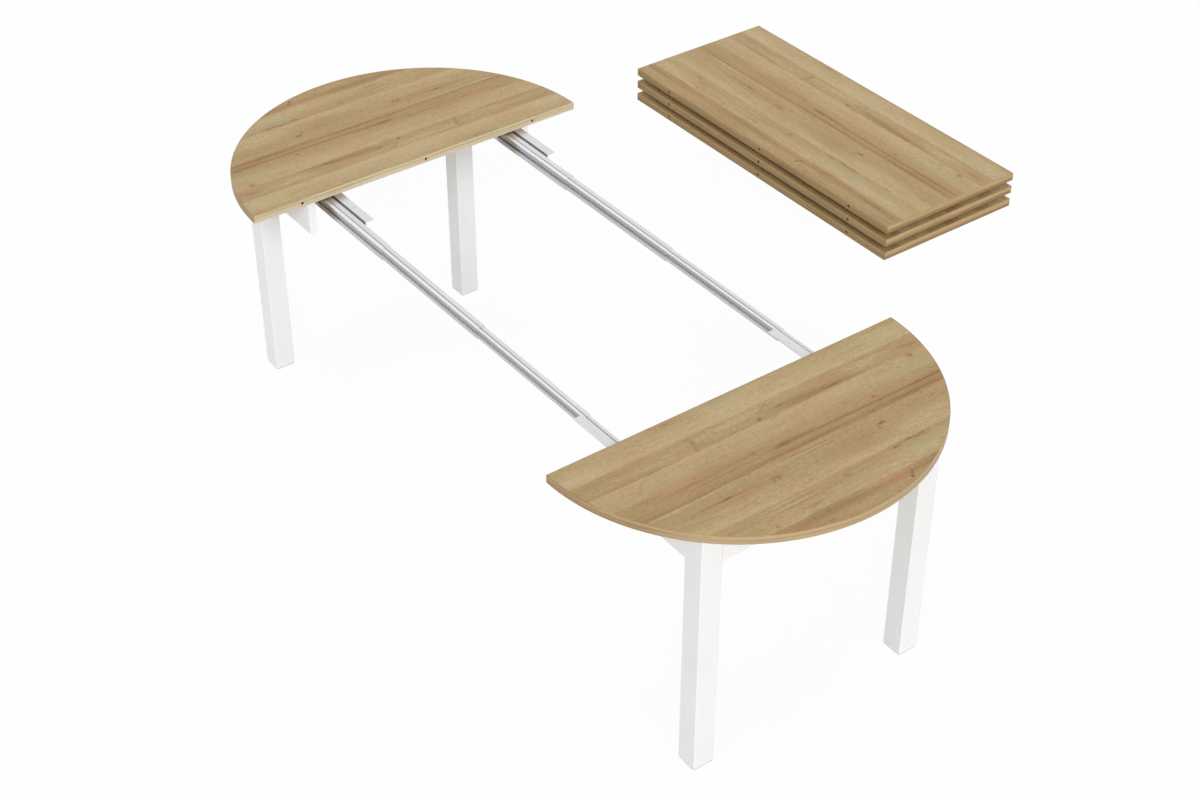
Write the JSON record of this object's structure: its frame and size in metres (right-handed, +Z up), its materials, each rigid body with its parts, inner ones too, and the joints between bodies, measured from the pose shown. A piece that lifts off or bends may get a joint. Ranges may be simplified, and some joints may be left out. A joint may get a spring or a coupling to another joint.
{
  "type": "round extending dining table",
  "caption": "Round dining table drawn apart on telescopic steel runners, with loose leaves stacked beside it.",
  "frame": {"origin": "on the floor, at the middle of the bounding box of the open table and its stack of leaves", "axes": "+X the way the near half slides out, +Y along the seam towards the stack of leaves, +Z up"},
  "size_m": [2.4, 1.65, 0.87],
  "materials": {
    "decor_board": "satin oak decor with brown streaks and small knots",
    "edge_band": "satin oak-coloured edge band",
    "white_lacquer": "satin white lacquer",
    "beech_dowel": "plain turned beech",
    "felt": "pressed felt",
    "zinc_hardware": "bright zinc plating",
    "rail_steel": "satin zinc-plated steel"
  },
  "bodies": {
    "far_half": {"far_bolt_nuts": "zinc_hardware", "far_corner_bracket_left": "zinc_hardware", "far_corner_bracket_right": "zinc_hardware", "far_curved_edging": "edge_band", "far_end_apron": "white_lacquer", "far_foot_pads": "felt", "far_frame_screws": "zinc_hardware", "far_hanger_bolts": "zinc_hardware", "far_leg_left": "white_lacquer", "far_leg_right": "white_lacquer", "far_rail_left": "rail_steel", "far_rail_right": "rail_steel", "far_rail_screws": "zinc_hardware", "far_rail_stops": "zinc_hardware", "far_seam_edging": "edge_band", "far_side_apron_left": "white_lacquer", "far_side_apron_right": "white_lacquer", "far_top_board": "decor_board"},
    "near_half": {"near_bolt_nuts": "zinc_hardware", "near_corner_bracket_left": "zinc_hardware", "near_corner_bracket_right": "zinc_hardware", "near_curved_edging": "edge_band", "near_end_apron": "white_lacquer", "near_foot_pads": "felt", "near_frame_screws": "zinc_hardware", "near_hanger_bolts": "zinc_hardware", "near_leg_left": "white_lacquer", "near_leg_right": "white_lacquer", "near_rail_left": "rail_steel", "near_rail_right": "rail_steel", "near_rail_screws": "zinc_hardware", "near_seam_dowels": "beech_dowel", "near_seam_edging": "edge_band", "near_side_apron_left": "white_lacquer", "near_side_apron_right": "white_lacquer", "near_top_board": "decor_board"},
    "first_slide_left": {"first_slide_left": "rail_steel", "first_slide_stop_left": "zinc_hardware"},
    "second_slide_left": {"second_slide_left": "rail_steel", "second_slide_stop_left": "zinc_hardware"},
    "first_slide_right": {"first_slide_right": "rail_steel", "first_slide_stop_right": "zinc_hardware"},
    "second_slide_right": {"second_slide_right": "rail_steel", "second_slide_stop_right": "zinc_hardware"},
    "leaf_1": {"leaf_1_board": "decor_board", "leaf_1_dowels": "beech_dowel", "leaf_1_end_edgings": "edge_band", "leaf_1_long_edgings": "edge_band"},
    "leaf_2": {"leaf_2_board": "decor_board", "leaf_2_dowels": "beech_dowel", "leaf_2_end_edgings": "edge_band", "leaf_2_long_edgings": "edge_band"},
    "leaf_3": {"leaf_3_board": "decor_board", "leaf_3_dowels": "beech_dowel", "leaf_3_end_edgings": "edge_band", "leaf_3_long_edgings": "edge_band"}
  },
  "joints": [
    {"name": "extension", "type": "slide", "parent": "far_half", "child": "near_half", "axis": [1, 0, 0], "range_m": [-1.35, 0]},
    {"name": "first_slide_left_travel", "type": "slide", "parent": "far_half", "child": "first_slide_left", "axis": [1, 0, 0], "range_m": [-0.45, 0]},
    {"name": "second_slide_left_travel", "type": "slide", "parent": "far_half", "child": "second_slide_left", "axis": [1, 0, 0], "range_m": [-0.9, 0]},
    {"name": "first_slide_right_travel", "type": "slide", "parent": "far_half", "child": "first_slide_right", "axis": [1, 0, 0], "range_m": [-0.45, 0]},
    {"name": "second_slide_right_travel", "type": "slide", "parent": "far_half", "child": "second_slide_right", "axis": [1, 0, 0], "range_m": [-0.9, 0]},
    {"name": "leaf_1_lift", "type": "slide", "parent": "far_half", "child": "leaf_1", "axis": [0, 0, 1], "range_m": [0, 0.3]},
    {"name": "leaf_2_lift", "type": "slide", "parent": "leaf_1", "child": "leaf_2", "axis": [0, 0, 1], "range_m": [0, 0.3]},
    {"name": "leaf_3_lift", "type": "slide", "parent": "leaf_2", "child": "leaf_3", "axis": [0, 0, 1], "range_m": [0, 0.3]}
  ],
  "couplings": [
    {"joint": "first_slide_left_travel", "follows": "extension", "ratio": 0.33333},
    {"joint": "second_slide_left_travel", "follows": "extension", "ratio": 0.66667},
    {"joint": "first_slide_right_travel", "follows": "extension", "ratio": 0.33333},
    {"joint": "second_slide_right_travel", "follows": "extension", "ratio": 0.66667}
  ]
}
